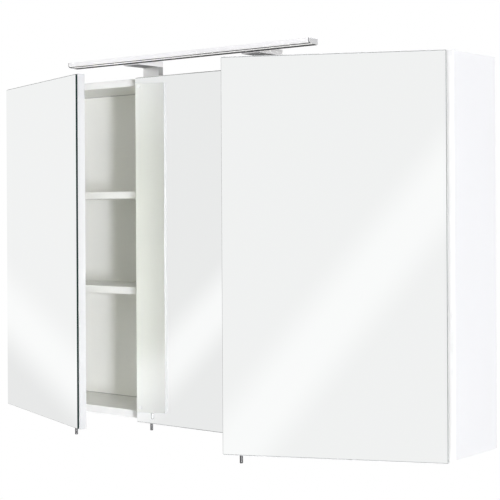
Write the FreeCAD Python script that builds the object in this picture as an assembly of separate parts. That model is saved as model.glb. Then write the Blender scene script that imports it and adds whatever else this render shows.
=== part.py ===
import FreeCAD, Part
import os

# Wall-hung mirror cabinet with three doors and a lamp bar, in millimetres.
# X runs to the right, Y into the wall, Z up. The wall is the plane Y = 0 and the doors face -Y.
# The origin is the centre of the wall screws, so the carcass bottom lies below it.

V = FreeCAD.Vector

# Carcass
CARCASS_W = 1200.0
CARCASS_H = 747.0
CARCASS_D = 157.0
BOARD_T = 16.0
BOARD_EDGE_R = 0.8
BACK_T = 3.0
BACK_INSET = 9.0
BACK_GROOVE = 6.0
SHELF_T = 16.0
SHELF_SETBACK = 5.0
SHELF_PLAY = 0.5
SHELF_TOPS = (287.0, 499.0)
PIN_R = 2.5
PIN_LEN = 15.0
PIN_BED = 7.0
PIN_FROM_FRONT = 37.0
PIN_FROM_BACK = 32.0
PIN_STEP = 32.0

# Doors
SIDE_DOOR_W = 421.5
DOOR_GAP = 5.0
DOOR_STANDOFF = 2.0
DOOR_BOARD_T = 16.0
DOOR_EDGE_R = 0.8
GLASS_T = 4.0
GLASS_BEVEL = 0.8
DOOR_BELOW = 3.0
DOOR_TOP_INSET = 1.0
LEFT_DOOR_OPEN = 20.6
RIGHT_DOOR_OPEN = 25.3
MIDDLE_DOOR_OPEN = 1.0
PULL_R = 3.2
PULL_DROP = 16.0
PULL_FROM_EDGE = 34.0
PULL_STUD_R = 2.0
PULL_STUD_LEN = 14.0
BUMPER_R = 4.0
BUMPER_PLAY = 0.2
BUMPER_FROM_EDGE = 60.0

# Hinge, seen along its pins: u runs inward from the door's hinge edge, v forward from the carcass front
HINGE_FROM_END = 100.0
CUP_R = 17.5
CUP_WALL = 1.0
CUP_EDGE = 3.0
CUP_DEPTH = 12.0
CUP_FIT = 0.1
CUP_FLANGE_T = 1.2
CUP_FLANGE_HALF = 31.0
CUP_FLANGE_U = (15.0, 33.0)
CUP_SCREW_HALF = 24.0
CUP_SCREW_BACK = 6.0
CUP_SCREW_R = 1.75
CUP_SCREW_HEAD_R = 3.15
CUP_SCREW_HEAD_T = 0.7
CUP_SCREW_LEN = 11.0
OUTER_ARM_PIN = (40.85, -16.04)
OUTER_CUP_PIN = (8.5, 5.5)
OUTER_BEND = ((10.2, 9.4), (17.0, 9.6), (21.5, 7.0))
INNER_ARM_PIN = (44.37, -1.81)
INNER_END = (14.42, 10.9)
INNER_BEND = ((34.2, 0.5), (33.0, 9.8), (29.0, 11.75), (22.0, 11.75))
LINK_RATIO = -0.6
OUTER_T = 2.8
OUTER_EYE_R = 2.9
OUTER_HALF = 3.0
INNER_T = 1.6
INNER_EYE_R = 1.7
INNER_HUB_R = 2.1
CHEEK_T = 1.5
LAYER_GAP = 0.4
OUTER_PIN_R = 1.5
INNER_PIN_R = 1.2
PIN_PLAY = 0.05
PLATE_H = 8.0
PLATE_V = (-64.0, -22.0)
PLATE_HALF = 9.0
WING_T = 2.5
WING_HALF = 24.0
WING_W = 14.0
PLATE_SCREW_V = -37.0
PLATE_SCREW_HALF = 16.0
PLATE_SCREW_R = 2.0
PLATE_SCREW_HEAD_R = 3.6
PLATE_SCREW_HEAD_T = 2.0
PLATE_SCREW_DEPTH = 11.0
ARM_REAR_H = 6.0
ARM_REAR_LEN = 20.0
ARM_RAMP_SHORT = 4.0
ARM_WEB_PAST = 12.0
ARM_NOSE_U = 14.0
ARM_NOSE_SLOPE = (10.0, -10.0)
ARM_FRONT_V = 0.3
ARM_TOP_U = 51.0
ARM_SCREW_V = -55.0
ARM_SCREW_R = 2.4
ARM_SCREW_HEAD_R = 4.1
ARM_SCREW_HEAD_T = 2.4
ARM_SCREW_DEPTH = 6.0

# Carcass fasteners
CAM_R = 7.5
CAM_T = 12.0
CAM_FROM_SIDE = 24.0
CAM_FROM_FRONT = 32.0
CAM_FROM_BACK = 40.0
BOLT_R = 3.0
BOLT_BED = 10.0
JOIN_SCREW_R = 2.5
JOIN_SCREW_HEAD_R = 4.5
JOIN_SCREW_HEAD_T = 3.0
JOIN_SCREW_LEN = 50.0
JOIN_SCREW_Y = (-120.0, -45.0)

# Wall hanging
HOOK_FROM_TOP = 47.0
WALL_SCREW_FROM_SIDE = 60.0
WALL_SCREW_DZ = 24.0
WALL_SCREW_BELOW = 36.0
WALL_HOLE_R = 3.25
WALL_PLATE_T = 2.0
WALL_PLATE_W = 66.0
WALL_PLATE_MARGIN = 12.0
LIP_OFFSET = 3.0
LIP_H = 12.0
HOOK_T = 2.5
HOOK_W = 14.0
HOOK_TIP = 8.0
HOOK_SIDE_GAP = 6.0
HOOK_IN = 32.0
HANGER_W = 22.0
HANGER_D = 46.0
HANGER_UP = 20.0
HANGER_DOWN = 34.0
HANGER_SCREW_R = 3.0
HANGER_SCREW_LEN = 14.0
HANGER_SCREW_DROP = 20.4
NOTCH_CLEAR = 4.0

# Lamp
LAMP_LEN = 663.0
LAMP_D = 28.0
LAMP_H = 10.8
LAMP_EDGE_R = 1.0
LAMP_REACH = 75.4
LAMP_RISE = 27.4
LAMP_CAP_T = 2.0
LAMP_CHANNEL_W = 17.0
LAMP_CHANNEL_H = 7.6
DIFFUSER_T = 1.8
STRIP_W = 12.0
STRIP_T = 1.4
BRACKET_FROM_PARTITION = 11.0
BRACKET_W = 46.0
BRACKET_POST_D = 14.0
BRACKET_SETBACK = 28.7
ARM_RISE = 23.7
ARM_H = 11.9
BAR_SCREW_DX = 12.0
BAR_SCREW_R = 2.0
BAR_SCREW_HEAD_R = 3.6
BAR_SCREW_HEAD_T = 2.4
BAR_SCREW_IN = 4.0
BASE_SCREW_INWARD = (5.0, 17.0)
BASE_SCREW_R = 2.0
BASE_SCREW_HEAD_R = 4.0
BASE_SCREW_HEAD_T = 2.2
BASE_SCREW_IN = 12.0
DRIVER_L = 130.0
DRIVER_D = 34.0
DRIVER_H = 14.0
DRIVER_BACK = 16.0
DRIVER_CORNER_R = 3.0
GLAND_R = 5.0
GLAND_LEN = 12.0
GLAND_BORE_R = 2.6

# Places that follow from the sizes above
HALF_W = CARCASS_W / 2
INNER_HALF = HALF_W - BOARD_T
TOP_UNDER = CARCASS_H - BOARD_T
MIDDLE_DOOR_W = CARCASS_W - 2 * SIDE_DOOR_W - 2 * DOOR_GAP
PARTITION_X = MIDDLE_DOOR_W / 2 + DOOR_GAP / 2
LAMP_FRONT = CARCASS_D + LAMP_REACH
BRACKET_DX = PARTITION_X - BRACKET_FROM_PARTITION
BRACKET_BACK = CARCASS_D - BRACKET_SETBACK
WALL_SCREW_DX = HALF_W - WALL_SCREW_FROM_SIDE
HOOK_Z = CARCASS_H - HOOK_FROM_TOP
DOOR_H = CARCASS_H - DOOR_TOP_INSET + DOOR_BELOW
DOOR_T = DOOR_BOARD_T + GLASS_T
BACK_FRONT_Y = -BACK_INSET - BACK_T
BOARD_FRONT_V = DOOR_STANDOFF + DOOR_BOARD_T
GLASS_FRONT_V = BOARD_FRONT_V + GLASS_T
CUP_U = CUP_EDGE + CUP_R
CUP_IN_R = CUP_R - CUP_WALL
CUP_FLOOR_V = DOOR_STANDOFF + CUP_DEPTH - CUP_WALL
INNER_LAYER = OUTER_HALF + LAYER_GAP
CHEEK_LAYER = INNER_LAYER + CHEEK_T + LAYER_GAP
CHEEK_OUT = CHEEK_LAYER + CHEEK_T
HINGE_ZS = (HINGE_FROM_END - DOOR_BELOW, CARCASS_H - DOOR_TOP_INSET - HINGE_FROM_END)
ORIGIN_Z = HOOK_Z - WALL_SCREW_BELOW


def box(x0, x1, y0, y1, z0, z1):
    low = V(min(x0, x1), min(y0, y1), min(z0, z1))
    return Part.makeBox(abs(x1 - x0), abs(y1 - y0), abs(z1 - z0), low)


def rod(start, end, radius):
    a = V(*start)
    axis = V(*end) - a
    return Part.makeCylinder(radius, axis.Length, a, axis)


def fuse(shapes):
    return shapes[0].multiFuse(shapes[1:]).removeSplitter()


def screw(head, tip, shank_r, head_r, head_t):
    # Pan head that stands from the point head back along the screw, shank from head to tip
    a = V(*head)
    axis = (V(*tip) - a).normalize()
    top = a - axis * head_t
    return fuse([rod(a, tip, shank_r), rod(top, a, head_r)])


def save(name, *solids):
    shape = solids[0] if len(solids) == 1 else Part.makeCompound(list(solids))
    moved = shape.copy()
    moved.translate(V(0, 0, -ORIGIN_Z))
    moved.exportStep("parts/" + name + ".step")
    print(name, len(solids), "solids", round(moved.Volume / 1000.0, 2), "cm3", moved.isValid())


# A hinged edge: where the door's edge is, the face the plates sit on, which way is inward, how far it is open
class HingeSide:
    def __init__(self, edge_x, base_u, inward, width, opened):
        self.edge_x = edge_x
        self.base_u = base_u
        self.inward = inward
        self.width = width
        self.opened = opened

    def at(self, uv, z):
        return V(self.edge_x + self.inward * uv[0], -CARCASS_D - uv[1], z)

    def block(self, u0, u1, v0, v1, z0, z1):
        a = self.at((u0, v0), z0)
        b = self.at((u1, v1), z1)
        return box(a.x, b.x, a.y, b.y, a.z, b.z)

    def prism(self, outline, z0, z1):
        points = [self.at(uv, z0) for uv in outline]
        face = Part.Face(Part.makePolygon(points + points[:1]))
        return face.extrude(V(0, 0, z1 - z0))

    def pin(self, uv, z0, z1, radius):
        return rod(self.at(uv, z0), self.at(uv, z1), radius)

    def turn(self, shape, uv, angle):
        turned = shape.copy()
        turned.rotate(self.at(uv, 0), V(0, 0, 1), -self.inward * angle)
        return turned

    def swing_outer(self, shape):
        return self.turn(shape, OUTER_ARM_PIN, LINK_RATIO * self.opened)

    def swing_inner(self, shape):
        return self.turn(shape, INNER_ARM_PIN, LINK_RATIO * self.opened)

    def swing_door(self, shape):
        # The cup pin rides on the outer link, and the door turns about it
        closed_pin = self.at(OUTER_CUP_PIN, 0)
        pin_mark = Part.Vertex(closed_pin)
        moved_pin = self.swing_outer(pin_mark).Point
        turned = self.turn(shape, OUTER_CUP_PIN, self.opened)
        turned.translate(moved_pin - closed_pin)
        return turned


SIDES = {
    "left": HingeSide(-HALF_W, BOARD_T, 1, SIDE_DOOR_W, LEFT_DOOR_OPEN),
    "middle": HingeSide(MIDDLE_DOOR_W / 2, BOARD_T / 2 - DOOR_GAP / 2, -1, MIDDLE_DOOR_W, MIDDLE_DOOR_OPEN),
    "right": HingeSide(HALF_W, BOARD_T, -1, SIDE_DOOR_W, RIGHT_DOOR_OPEN),
}


# Thick bent strip through the given points, as seen along the hinge pins
def strip(side, points, thickness, z0, z1):
    half = thickness / 2
    pieces = []
    for a, b in zip(points[:-1], points[1:]):
        along = V(b[0] - a[0], b[1] - a[1], 0).normalize()
        across = V(-along.y, along.x, 0) * half
        corners = [
            (a[0] + across.x, a[1] + across.y),
            (b[0] + across.x, b[1] + across.y),
            (b[0] - across.x, b[1] - across.y),
            (a[0] - across.x, a[1] - across.y),
        ]
        pieces.append(side.prism(corners, z0, z1))
    for bend in points[1:-1]:
        pieces.append(side.pin(bend, z0, z1, half))
    return pieces


# Carcass boards

def shelf_places():
    left_in = -PARTITION_X - BOARD_T / 2
    right_in = PARTITION_X - BOARD_T / 2
    return {
        "left": (-INNER_HALF, left_in),
        "middle": (-right_in, right_in),
        "right": (-left_in, INNER_HALF),
    }


def pin_points():
    # Shelf pins: support face, inward direction, y and the height of the pin's top
    found = []
    for low, high in shelf_places().values():
        for x, inward in ((low, 1), (high, -1)):
            for y in (-CARCASS_D + PIN_FROM_FRONT, BACK_FRONT_Y - PIN_FROM_BACK):
                for top in SHELF_TOPS:
                    found.append((x, inward, y, top - SHELF_T))
    return found


def pin_holes():
    # Holes at each pin and one step above and below it
    holes = []
    for x, inward, y, top in pin_points():
        for step in (-1, 0, 1):
            z = top - PIN_R + step * PIN_STEP
            holes.append(rod((x - inward * PIN_BED, y, z), (x, y, z), PIN_R))
    return holes


def plate_screws(side):
    made = []
    for hinge_z in HINGE_ZS:
        for dz in (-PLATE_SCREW_HALF, PLATE_SCREW_HALF):
            head = side.at((side.base_u + WING_T, PLATE_SCREW_V), hinge_z + dz)
            tip = side.at((side.base_u - PLATE_SCREW_DEPTH, PLATE_SCREW_V), hinge_z + dz)
            made.append(screw(head, tip, PLATE_SCREW_R, PLATE_SCREW_HEAD_R, PLATE_SCREW_HEAD_T))
    return made


def cam_places():
    # Corner joints: side sign, board's cam face, direction of the cam into the board, y
    found = []
    for sign in (-1, 1):
        for y in (-CARCASS_D + CAM_FROM_FRONT, BACK_FRONT_Y - CAM_FROM_BACK):
            found.append((sign, CARCASS_H, -1, y))
            found.append((sign, 0.0, 1, y))
    return found


def cam(sign, face_z, into, y):
    x = sign * (INNER_HALF - CAM_FROM_SIDE)
    return rod((x, y, face_z), (x, y, face_z + into * CAM_T), CAM_R)


def cam_bolt(sign, face_z, into, y):
    z = face_z + into * BOARD_T / 2
    start = sign * (INNER_HALF - CAM_FROM_SIDE + CAM_R)
    return rod((start, y, z), (sign * (INNER_HALF + BOLT_BED), y, z), BOLT_R)


def join_screws():
    made = []
    for x in (-PARTITION_X, PARTITION_X):
        for y in JOIN_SCREW_Y:
            for face_z, into in ((CARCASS_H, -1), (0.0, 1)):
                head = (x, y, face_z + into * JOIN_SCREW_HEAD_T)
                tip = (x, y, face_z + into * JOIN_SCREW_LEN)
                made.append(screw(head, tip, JOIN_SCREW_R, JOIN_SCREW_HEAD_R, JOIN_SCREW_HEAD_T))
    return made


def base_screws():
    made = []
    post_y = -BRACKET_BACK - BRACKET_POST_D / 2
    for sign in (-1, 1):
        for inward in BASE_SCREW_INWARD:
            x = sign * (BRACKET_DX - inward)
            head = (x, post_y, TOP_UNDER)
            tip = (x, post_y, CARCASS_H + BASE_SCREW_IN)
            made.append(screw(head, tip, BASE_SCREW_R, BASE_SCREW_HEAD_R, BASE_SCREW_HEAD_T))
    return made


def hanger_fixings():
    # Screws that hold each hanger to the carcass side
    made = []
    y = BACK_FRONT_Y - HANGER_D / 2
    for sign in (-1, 1):
        for z in (HOOK_Z - HANGER_DOWN / 2, HOOK_Z + HANGER_UP / 2 + HOOK_T):
            head = (sign * (INNER_HALF - HANGER_W), y, z)
            tip = (sign * (INNER_HALF + BOLT_BED), y, z)
            made.append(screw(head, tip, BASE_SCREW_R, BASE_SCREW_HEAD_R, BASE_SCREW_HEAD_T))
    return made


def back_outline():
    # Sheet let into the grooves of the sides, top and bottom
    half = INNER_HALF + BACK_GROOVE
    return box(-half, half, BACK_FRONT_Y, -BACK_INSET, BOARD_T - BACK_GROOVE, TOP_UNDER + BACK_GROOVE)


CAMS = [cam(*place) for place in cam_places()]
CAM_BOLTS = [cam_bolt(*place) for place in cam_places()]
JOIN_SCREWS = join_screws()
BASE_SCREWS = base_screws()
HANGER_FIXINGS = hanger_fixings()
PLATE_SCREWS = [s for side in SIDES.values() for s in plate_screws(side)]
PIN_HOLES = pin_holes()
GROOVE = back_outline()


def drilled(board, tools):
    near = [t for t in tools if t.BoundBox.intersect(board.BoundBox)]
    return board.cut(near).removeSplitter() if near else board


def face_rim(board, y):
    return [e for e in board.Edges if all(abs(v.Y - y) < 0.01 for v in e.Vertexes)]


def banded(board, front_y, radius):
    # Rounds the long edges of a board's banded face, the one in the plane y = front_y
    reach = max(board.BoundBox.XLength, board.BoundBox.ZLength) / 2
    return board.makeFillet(radius, [e for e in face_rim(board, front_y) if e.Length > reach])


def side_panel(sign):
    plain = box(sign * INNER_HALF, sign * HALF_W, -CARCASS_D, 0, 0, CARCASS_H)
    board = banded(plain, -CARCASS_D, BOARD_EDGE_R)
    return drilled(board, [GROOVE] + PIN_HOLES + CAM_BOLTS + PLATE_SCREWS + HANGER_FIXINGS)


def level_panel(z0):
    plain = box(-INNER_HALF, INNER_HALF, -CARCASS_D, 0, z0, z0 + BOARD_T)
    board = banded(plain, -CARCASS_D, BOARD_EDGE_R)
    return drilled(board, [GROOVE] + CAMS + CAM_BOLTS + JOIN_SCREWS + BASE_SCREWS)


def partition(sign):
    x = sign * PARTITION_X
    plain = box(x - BOARD_T / 2, x + BOARD_T / 2, -CARCASS_D, BACK_FRONT_Y, BOARD_T, TOP_UNDER)
    board = banded(plain, -CARCASS_D, BOARD_EDGE_R)
    return drilled(board, PIN_HOLES + JOIN_SCREWS + PLATE_SCREWS)


def back_panel():
    panel = back_outline()
    notches = []
    for sign in (-1, 1):
        x_in = sign * (INNER_HALF - HOOK_SIDE_GAP - HOOK_W - NOTCH_CLEAR)
        x_out = sign * (INNER_HALF - HOOK_SIDE_GAP + NOTCH_CLEAR)
        z0 = HOOK_Z - HOOK_TIP - NOTCH_CLEAR
        z1 = HOOK_Z + HOOK_T + NOTCH_CLEAR
        notches.append(box(x_in, x_out, BACK_FRONT_Y, -BACK_INSET, z0, z1))
    return panel.cut(notches)


def shelf(low, high, top):
    y0 = -CARCASS_D + SHELF_SETBACK
    plain = box(low + SHELF_PLAY, high - SHELF_PLAY, y0, BACK_FRONT_Y - SHELF_PLAY, top - SHELF_T, top)
    return banded(plain, y0, BOARD_EDGE_R)


def shelf_pin(x, inward, y, top):
    z = top - PIN_R
    return rod((x - inward * PIN_BED, y, z), (x + inward * (PIN_LEN - PIN_BED), y, z), PIN_R)


# Doors

def door_board(side):
    plain = side.block(0, side.width, DOOR_STANDOFF, BOARD_FRONT_V, -DOOR_BELOW, DOOR_H - DOOR_BELOW)
    rim = face_rim(plain, -CARCASS_D - DOOR_STANDOFF)
    board = plain.makeFillet(DOOR_EDGE_R, rim)
    tools = cup_screws(side)
    for hinge_z in HINGE_ZS:
        mouth = side.at((CUP_U, DOOR_STANDOFF), hinge_z)
        floor = side.at((CUP_U, DOOR_STANDOFF + CUP_DEPTH), hinge_z)
        tools.append(rod(mouth, floor, CUP_R + CUP_FIT))
    tools.append(pull_stud(side))
    return board.cut(tools).removeSplitter()


def mirror_glass(side):
    glass = side.block(0, side.width, BOARD_FRONT_V, GLASS_FRONT_V, -DOOR_BELOW, DOOR_H - DOOR_BELOW)
    return glass.makeChamfer(GLASS_BEVEL, face_rim(glass, -CARCASS_D - GLASS_FRONT_V))


def pull_axis():
    return DOOR_STANDOFF + DOOR_BOARD_T / 2


def pull_stud(side):
    uv = (side.width - PULL_FROM_EDGE, pull_axis())
    return side.pin(uv, -DOOR_BELOW, -DOOR_BELOW + PULL_STUD_LEN, PULL_STUD_R)


def door_pull(side):
    uv = (side.width - PULL_FROM_EDGE, pull_axis())
    grip = side.pin(uv, -DOOR_BELOW - PULL_DROP, -DOOR_BELOW, PULL_R)
    tip = [e for e in grip.Edges if all(abs(v.Z + DOOR_BELOW + PULL_DROP) < 0.01 for v in e.Vertexes)]
    rounded = grip.makeFillet(PULL_R / 3, tip)
    return fuse([rounded, pull_stud(side)])


def bumpers(side):
    made = []
    u = side.width - BUMPER_FROM_EDGE
    for z in (BOARD_T / 2, CARCASS_H - BOARD_T / 2):
        made.append(rod(side.at((u, BUMPER_PLAY), z), side.at((u, DOOR_STANDOFF), z), BUMPER_R))
    return made


# Hinges

def cup_screws(side):
    made = []
    u = CUP_U + CUP_SCREW_BACK
    flange_v = DOOR_STANDOFF - CUP_FLANGE_T
    for hinge_z in HINGE_ZS:
        for dz in (-CUP_SCREW_HALF, CUP_SCREW_HALF):
            head = side.at((u, flange_v), hinge_z + dz)
            tip = side.at((u, flange_v + CUP_SCREW_LEN), hinge_z + dz)
            made.append(screw(head, tip, CUP_SCREW_R, CUP_SCREW_HEAD_R, CUP_SCREW_HEAD_T))
    return made


def hinge_cup(side, hinge_z):
    mouth = side.at((CUP_U, DOOR_STANDOFF), hinge_z)
    bottom = side.at((CUP_U, DOOR_STANDOFF + CUP_DEPTH), hinge_z)
    open_v = DOOR_STANDOFF - CUP_FLANGE_T
    hollow = rod(side.at((CUP_U, open_v), hinge_z), side.at((CUP_U, CUP_FLOOR_V), hinge_z), CUP_IN_R)
    low_z = hinge_z - CUP_FLANGE_HALF
    high_z = hinge_z + CUP_FLANGE_HALF
    flange = side.block(CUP_FLANGE_U[0], CUP_FLANGE_U[1], open_v, DOOR_STANDOFF, low_z, high_z)
    shell = rod(mouth, bottom, CUP_R).fuse(flange).cut(hollow)
    ear_u = OUTER_CUP_PIN[0] + 2 * OUTER_PIN_R + CUP_WALL
    ear_v = CUP_FLOOR_V + CUP_WALL / 2
    inside = rod(mouth, bottom, CUP_R - CUP_WALL / 2)
    ears = []
    for z0, z1 in ((-CHEEK_OUT, -CHEEK_LAYER), (CHEEK_LAYER, CHEEK_OUT)):
        ear = side.block(CUP_EDGE, ear_u, DOOR_STANDOFF, ear_v, hinge_z + z0, hinge_z + z1)
        ears.append(ear.common(inside))
    eye = side.pin(OUTER_CUP_PIN, hinge_z - CHEEK_OUT, hinge_z + CHEEK_OUT, OUTER_PIN_R + PIN_PLAY)
    cup = fuse([shell] + ears).cut(eye)
    return cup.cut(cup_screws(side))


def outer_link(side, hinge_z):
    z0 = hinge_z - OUTER_HALF
    z1 = hinge_z + OUTER_HALF
    points = (OUTER_CUP_PIN,) + OUTER_BEND + (OUTER_ARM_PIN,)
    pieces = strip(side, points, OUTER_T, z0, z1)
    for pin in (OUTER_CUP_PIN, OUTER_ARM_PIN):
        pieces.append(side.pin(pin, z0, z1, OUTER_EYE_R))
        pieces.append(side.pin(pin, hinge_z - CHEEK_OUT, hinge_z + CHEEK_OUT, OUTER_PIN_R))
    return fuse(pieces)


def inner_link(side, hinge_z):
    made = []
    points = (INNER_ARM_PIN,) + INNER_BEND + (INNER_END,)
    for sign in (-1, 1):
        z0 = hinge_z + sign * INNER_LAYER
        z1 = hinge_z + sign * (INNER_LAYER + CHEEK_T)
        pieces = strip(side, points, INNER_T, z0, z1)
        pieces.append(side.pin(INNER_END, z0, z1, INNER_EYE_R))
        pieces.append(side.pin(INNER_ARM_PIN, z0, z1, INNER_HUB_R))
        pieces.append(side.pin(INNER_ARM_PIN, z0, hinge_z + sign * CHEEK_OUT, INNER_PIN_R))
        made.append(fuse(pieces))
    return made


def arm_base_u():
    return BOARD_T + PLATE_H


def hinge_plate(side, hinge_z):
    top_u = arm_base_u()
    body = side.block(side.base_u, top_u, PLATE_V[0], PLATE_V[1], hinge_z - PLATE_HALF, hinge_z + PLATE_HALF)
    wing_v = (PLATE_SCREW_V - WING_W / 2, PLATE_SCREW_V + WING_W / 2)
    wing_top = side.base_u + WING_T
    wing = side.block(side.base_u, wing_top, wing_v[0], wing_v[1], hinge_z - WING_HALF, hinge_z + WING_HALF)
    return fuse([body, wing]).cut(plate_screws(side) + arm_screws(side))


def arm_screws(side):
    made = []
    web_u = arm_base_u() + ARM_REAR_H
    for hinge_z in HINGE_ZS:
        head = side.at((web_u, ARM_SCREW_V), hinge_z)
        tip = side.at((arm_base_u() - ARM_SCREW_DEPTH, ARM_SCREW_V), hinge_z)
        made.append(screw(head, tip, ARM_SCREW_R, ARM_SCREW_HEAD_R, ARM_SCREW_HEAD_T))
    return made


def hinge_arm(side, hinge_z):
    # Channel of two cheeks and a web: low over the plate, raised towards the pins at its front
    low = arm_base_u()
    rear = low + ARM_REAR_H
    back_v = PLATE_V[0]
    ramp_v = back_v + ARM_REAR_LEN
    top_v = PLATE_V[1] - ARM_RAMP_SHORT
    web_v = PLATE_V[1] + ARM_WEB_PAST
    cheek = (
        (low, back_v), (rear, back_v), (rear, ramp_v), (ARM_TOP_U, top_v),
        (ARM_TOP_U, ARM_FRONT_V), (low + ARM_NOSE_U, ARM_FRONT_V),
        (low + ARM_NOSE_SLOPE[0], ARM_NOSE_SLOPE[1]), (low, PLATE_V[1]),
    )
    under = ARM_TOP_U - CHEEK_T
    inner = [
        (rear - CHEEK_T, back_v), (rear - CHEEK_T, ramp_v + CHEEK_T),
        (under, top_v + CHEEK_T), (under, web_v),
    ]
    web = list(cheek[1:4]) + [(ARM_TOP_U, web_v)] + inner[::-1]
    pieces = [side.prism(web, hinge_z - CHEEK_OUT, hinge_z + CHEEK_OUT)]
    for z0, z1 in ((-CHEEK_OUT, -CHEEK_LAYER), (CHEEK_LAYER, CHEEK_OUT)):
        pieces.append(side.prism(cheek, hinge_z + z0, hinge_z + z1))
    eyes = [
        side.pin(OUTER_ARM_PIN, hinge_z - CHEEK_OUT, hinge_z + CHEEK_OUT, OUTER_PIN_R + PIN_PLAY),
        side.pin(INNER_ARM_PIN, hinge_z - CHEEK_OUT, hinge_z + CHEEK_OUT, INNER_PIN_R + PIN_PLAY),
    ]
    return fuse(pieces).cut(eyes + arm_screws(side))


# Wall hanging

def hook_x(sign):
    return sorted((sign * (INNER_HALF - HOOK_SIDE_GAP - HOOK_W), sign * (INNER_HALF - HOOK_SIDE_GAP)))


def lip_front_y():
    return -WALL_PLATE_T - LIP_OFFSET - WALL_PLATE_T


def hanger_hook(sign):
    # Flat tongue that rests on the wall plate's lip, with a tip turned down behind it
    x0, x1 = hook_x(sign)
    rear_y = -WALL_PLATE_T / 2
    tongue = box(x0, x1, BACK_FRONT_Y - HOOK_IN, rear_y, HOOK_Z, HOOK_Z + HOOK_T)
    tip_front = rear_y - WALL_PLATE_T
    tip = box(x0, x1, tip_front, rear_y, HOOK_Z - HOOK_TIP, HOOK_Z)
    return fuse([tongue, tip])


def hanger_adjusters(sign):
    # Two screws at the front of the hanger: one reaches the hook, one the back wall of the housing
    x0, x1 = hook_x(sign)
    x = (x0 + x1) / 2
    front_y = BACK_FRONT_Y - HANGER_D
    made = []
    for z in (HOOK_Z - HANGER_SCREW_DROP, HOOK_Z + HOOK_T / 2):
        head = (x, front_y, z)
        tip = (x, front_y + HANGER_SCREW_LEN, z)
        made.append(screw(head, tip, HANGER_SCREW_R / 2, HANGER_SCREW_R, HANGER_SCREW_R / 2))
    return made


def hanger(sign):
    y0 = BACK_FRONT_Y - HANGER_D
    z0 = HOOK_Z - HANGER_DOWN
    z1 = HOOK_Z + HOOK_T + HANGER_UP
    body = box(sign * (INNER_HALF - HANGER_W), sign * INNER_HALF, y0, BACK_FRONT_Y, z0, z1)
    uprights = [e for e in body.Edges if abs(e.Vertexes[0].X - e.Vertexes[-1].X) > HANGER_W / 2]
    front = [e for e in uprights if abs(e.Vertexes[0].Y - y0) < 0.01]
    rounded = body.makeFillet(HANGER_SCREW_R, front)
    return rounded.cut([hanger_hook(sign)] + hanger_adjusters(sign) + HANGER_FIXINGS)


def wall_plate(sign):
    # Sheet on the wall with its upper edge offset forward into a lip
    x = sign * WALL_SCREW_DX
    x0 = x - WALL_PLATE_W / 2
    x1 = x + WALL_PLATE_W / 2
    low_z = ORIGIN_Z - WALL_SCREW_DZ / 2 - WALL_PLATE_MARGIN
    bend_z = HOOK_Z - LIP_H
    sheet = box(x0, x1, -WALL_PLATE_T, 0, low_z, bend_z)
    step = box(x0, x1, lip_front_y(), 0, bend_z, bend_z + WALL_PLATE_T)
    lip = box(x0, x1, lip_front_y(), lip_front_y() + WALL_PLATE_T, bend_z, HOOK_Z)
    holes = []
    for dz in (-WALL_SCREW_DZ / 2, WALL_SCREW_DZ / 2):
        holes.append(rod((x, -WALL_PLATE_T, ORIGIN_Z + dz), (x, 0, ORIGIN_Z + dz), WALL_HOLE_R))
    return fuse([sheet, step, lip]).cut(holes)


# Lamp

LAMP_Y0 = -LAMP_FRONT
LAMP_Y1 = -LAMP_FRONT + LAMP_D
LAMP_Z0 = CARCASS_H + LAMP_RISE
LAMP_Z1 = LAMP_Z0 + LAMP_H
LAMP_MID_Y = (LAMP_Y0 + LAMP_Y1) / 2
BODY_HALF = LAMP_LEN / 2 - LAMP_CAP_T
ARM_Z0 = CARCASS_H + ARM_RISE
ARM_Z1 = ARM_Z0 + ARM_H
BAR_SCREW_Z = (max(ARM_Z0, LAMP_Z0) + min(ARM_Z1, LAMP_Z1)) / 2


def bar_screws():
    made = []
    for x in (-BRACKET_DX, BRACKET_DX):
        for dx in (-BAR_SCREW_DX, BAR_SCREW_DX):
            head = (x + dx, -BRACKET_BACK - BAR_SCREW_HEAD_T, BAR_SCREW_Z)
            tip = (x + dx, LAMP_Y1 - BAR_SCREW_IN, BAR_SCREW_Z)
            made.append(screw(head, tip, BAR_SCREW_R, BAR_SCREW_HEAD_R, BAR_SCREW_HEAD_T))
    return made


def lamp_section(x0, x1):
    body = box(x0, x1, LAMP_Y0, LAMP_Y1, LAMP_Z0, LAMP_Z1)
    along = [e for e in body.Edges if abs(e.Vertexes[0].X - e.Vertexes[-1].X) > abs(x1 - x0) / 2]
    return body.makeFillet(LAMP_EDGE_R, along)


def lamp_channel(half_len, z1):
    half = LAMP_CHANNEL_W / 2
    return box(-half_len, half_len, LAMP_MID_Y - half, LAMP_MID_Y + half, LAMP_Z0, z1)


def lamp_housing():
    body = lamp_section(-BODY_HALF, BODY_HALF)
    return body.cut([lamp_channel(BODY_HALF, LAMP_Z0 + LAMP_CHANNEL_H)] + bar_screws())


def lamp_cap(sign):
    return lamp_section(sign * BODY_HALF, sign * LAMP_LEN / 2)


def led_strip():
    top = LAMP_Z0 + LAMP_CHANNEL_H
    half = STRIP_W / 2
    return box(-BODY_HALF, BODY_HALF, LAMP_MID_Y - half, LAMP_MID_Y + half, top - STRIP_T, top)


def lamp_bracket(x):
    x0 = x - BRACKET_W / 2
    x1 = x + BRACKET_W / 2
    post = box(x0, x1, -BRACKET_BACK - BRACKET_POST_D, -BRACKET_BACK, CARCASS_H, ARM_Z1)
    arm = box(x0, x1, LAMP_Y1, -BRACKET_BACK, ARM_Z0, ARM_Z1)
    return fuse([post, arm]).cut(bar_screws() + BASE_SCREWS)


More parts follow.
